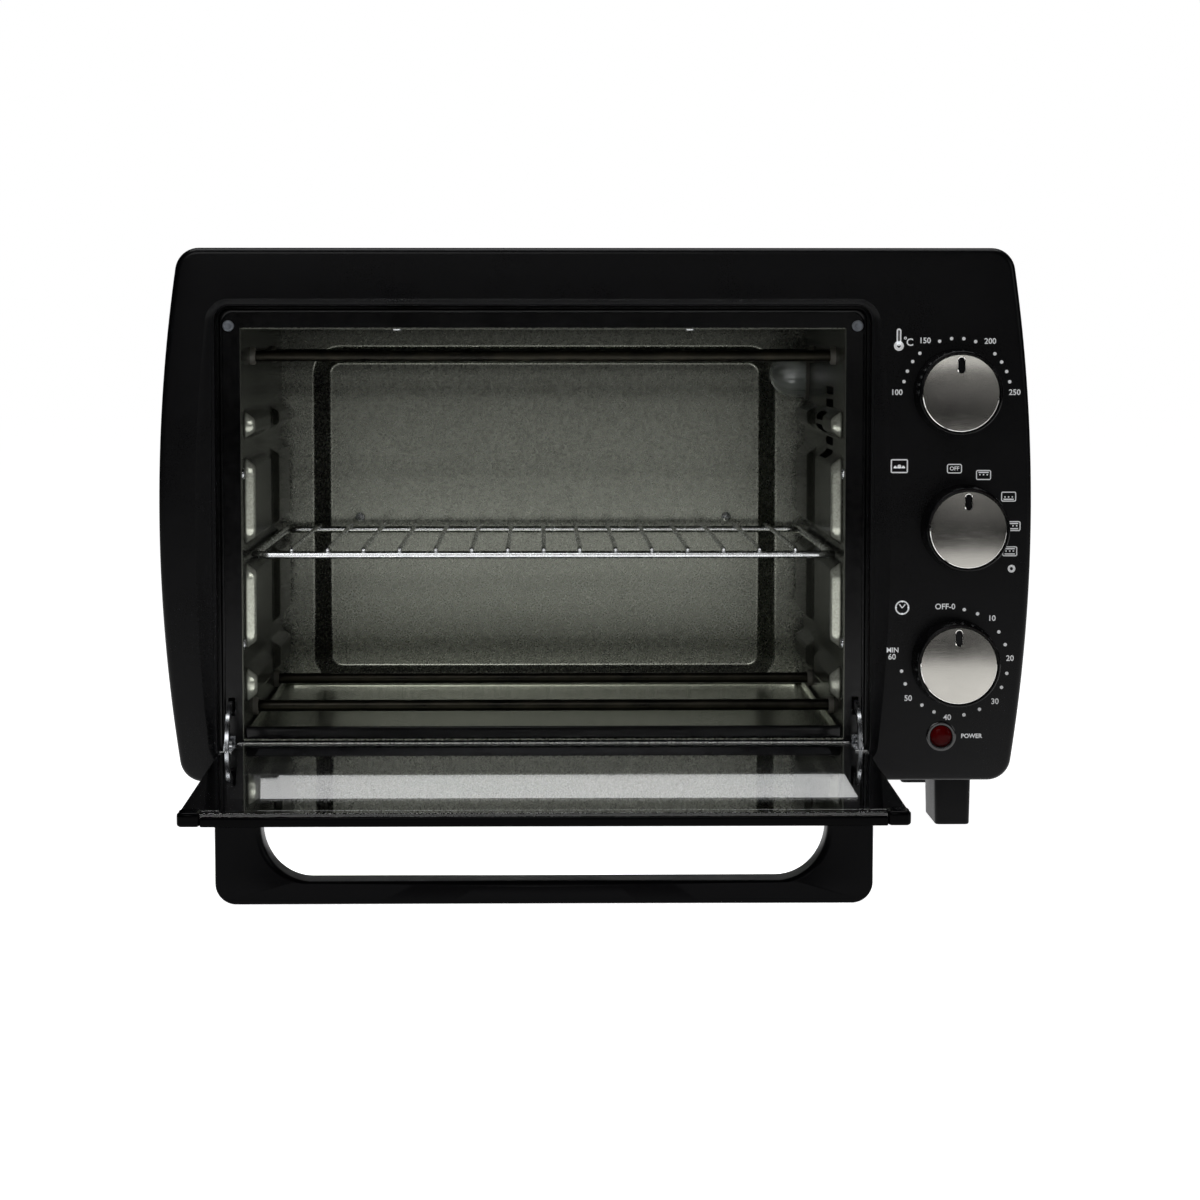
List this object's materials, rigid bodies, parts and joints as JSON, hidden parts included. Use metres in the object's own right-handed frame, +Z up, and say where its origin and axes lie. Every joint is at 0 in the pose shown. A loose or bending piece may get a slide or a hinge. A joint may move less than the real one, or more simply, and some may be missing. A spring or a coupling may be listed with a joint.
{
  "type": "toaster oven",
  "caption": "Countertop toaster oven with bowed black fascia, drop-down glass door with a loop handle, wire rack, crumb tray and dials beside the door.",
  "frame": {"origin": "on the worktop, in the middle of the floor space that the oven takes with its door open", "axes": "+X to the right as seen from the front, +Y to the back, +Z up"},
  "size_m": [0.474, 0.5548, 0.321],
  "materials": {
    "bezel_plastic": "satin moulded black",
    "frame_enamel": "gloss black",
    "cover_paint": "fine textured black",
    "base_steel": "dark coated steel",
    "cavity_steel": "coated steel with a fine spangle",
    "tray_steel": "bright steel",
    "element_sheath": "heat tinted sheath",
    "insulator_ceramic": "matt",
    "lamp_glass": "ribbed clear glass",
    "bulb_glass": "clear",
    "control_metal": "plated",
    "control_body": "moulded",
    "bell_brass": "polished",
    "housing_plastic": "gloss black",
    "lens_red": "clear red",
    "neon_glass": "clear",
    "foot_plastic": "moulded black",
    "fastener": "zinc plated",
    "bumper_rubber": "grey",
    "hinge_steel": "plated",
    "spring_steel": "plated wire",
    "rack_chrome": "bright",
    "door_glass": "clear with a black printed border",
    "rail_plastic": "gloss black",
    "handle_plastic": "satin moulded black",
    "knob_plastic": "gloss black",
    "knob_metal": "spun and brushed",
    "shaft_steel": "turned"
  },
  "bodies": {
    "oven": {"front_bezel": "bezel_plastic", "front_frame": "frame_enamel", "outer_cover": "cover_paint", "rear_panel": "cover_paint", "base_plate": "base_steel", "cavity_left_wall": "cavity_steel", "cavity_right_wall": "cavity_steel", "cavity_ceiling": "cavity_steel", "cavity_floor": "cavity_steel", "cavity_back_wall": "cavity_steel", "upper_front_element": "element_sheath", "upper_rear_element": "element_sheath", "lower_front_element": "element_sheath", "lower_rear_element": "element_sheath", "element_insulators": "insulator_ceramic", "lamp_holder": "insulator_ceramic", "lamp_bulb": "bulb_glass", "lamp_glass": "lamp_glass", "thermostat": "control_body", "function_switch": "control_body", "timer": "control_metal", "timer_bell": "bell_brass", "indicator_housing": "housing_plastic", "indicator_lens": "lens_red", "indicator_bulb": "neon_glass", "front_feet": "foot_plastic", "rear_feet": "foot_plastic", "foot_screws": "fastener", "cord_gland": "housing_plastic", "terminal_block": "control_body", "cavity_screws": "fastener", "panel_screws": "fastener", "door_bumpers": "bumper_rubber", "left_hinge_bracket": "hinge_steel", "right_hinge_bracket": "hinge_steel", "hinge_pins": "hinge_steel", "left_door_spring": "spring_steel", "right_door_spring": "spring_steel"},
    "tray": {"crumb_tray": "tray_steel", "crumb_tray_front": "frame_enamel"},
    "rack": {"wire_rack": "rack_chrome"},
    "door": {"door_glass": "door_glass", "door_top_rail": "rail_plastic", "rail_end_caps": "rail_plastic", "door_bottom_rail": "hinge_steel", "door_handle": "handle_plastic", "handle_screws": "fastener", "left_stay_arm": "hinge_steel", "right_stay_arm": "hinge_steel"},
    "temperature_dial": {"temperature_knob": "knob_plastic", "temperature_cap": "knob_metal", "temperature_shaft": "shaft_steel"},
    "function_dial": {"function_knob": "knob_plastic", "function_cap": "knob_metal", "function_shaft": "shaft_steel"},
    "timer_dial": {"timer_knob": "knob_plastic", "timer_cap": "knob_metal", "timer_shaft": "shaft_steel"}
  },
  "joints": [
    {"name": "door_hinge", "type": "hinge", "parent": "oven", "child": "door", "pos_m": [-0.0285, -0.04035, 0.049], "axis": [-1, 0, 0], "range_deg": [0, 91.1], "deforming": ["left_door_spring", "right_door_spring"]},
    {"name": "rack_slide", "type": "slide", "parent": "oven", "child": "rack", "axis": [0, 1, 0], "range_m": [-0.2, 0]},
    {"name": "tray_slide", "type": "slide", "parent": "oven", "child": "tray", "axis": [0, 1, 0], "range_m": [-0.22, 0]},
    {"name": "temperature_turn", "type": "hinge", "parent": "oven", "child": "temperature_dial", "pos_m": [0.1955, -0.04525, 0.243], "axis": [0, 1, 0], "range_deg": [-90, 90]},
    {"name": "function_turn", "type": "hinge", "parent": "oven", "child": "function_dial", "pos_m": [0.2, -0.04525, 0.1695], "axis": [0, 1, 0], "range_deg": [0, 120]},
    {"name": "timer_turn", "type": "hinge", "parent": "oven", "child": "timer_dial", "pos_m": [0.1955, -0.04525, 0.096], "axis": [0, 1, 0], "range_deg": [0, 270]}
  ]
}
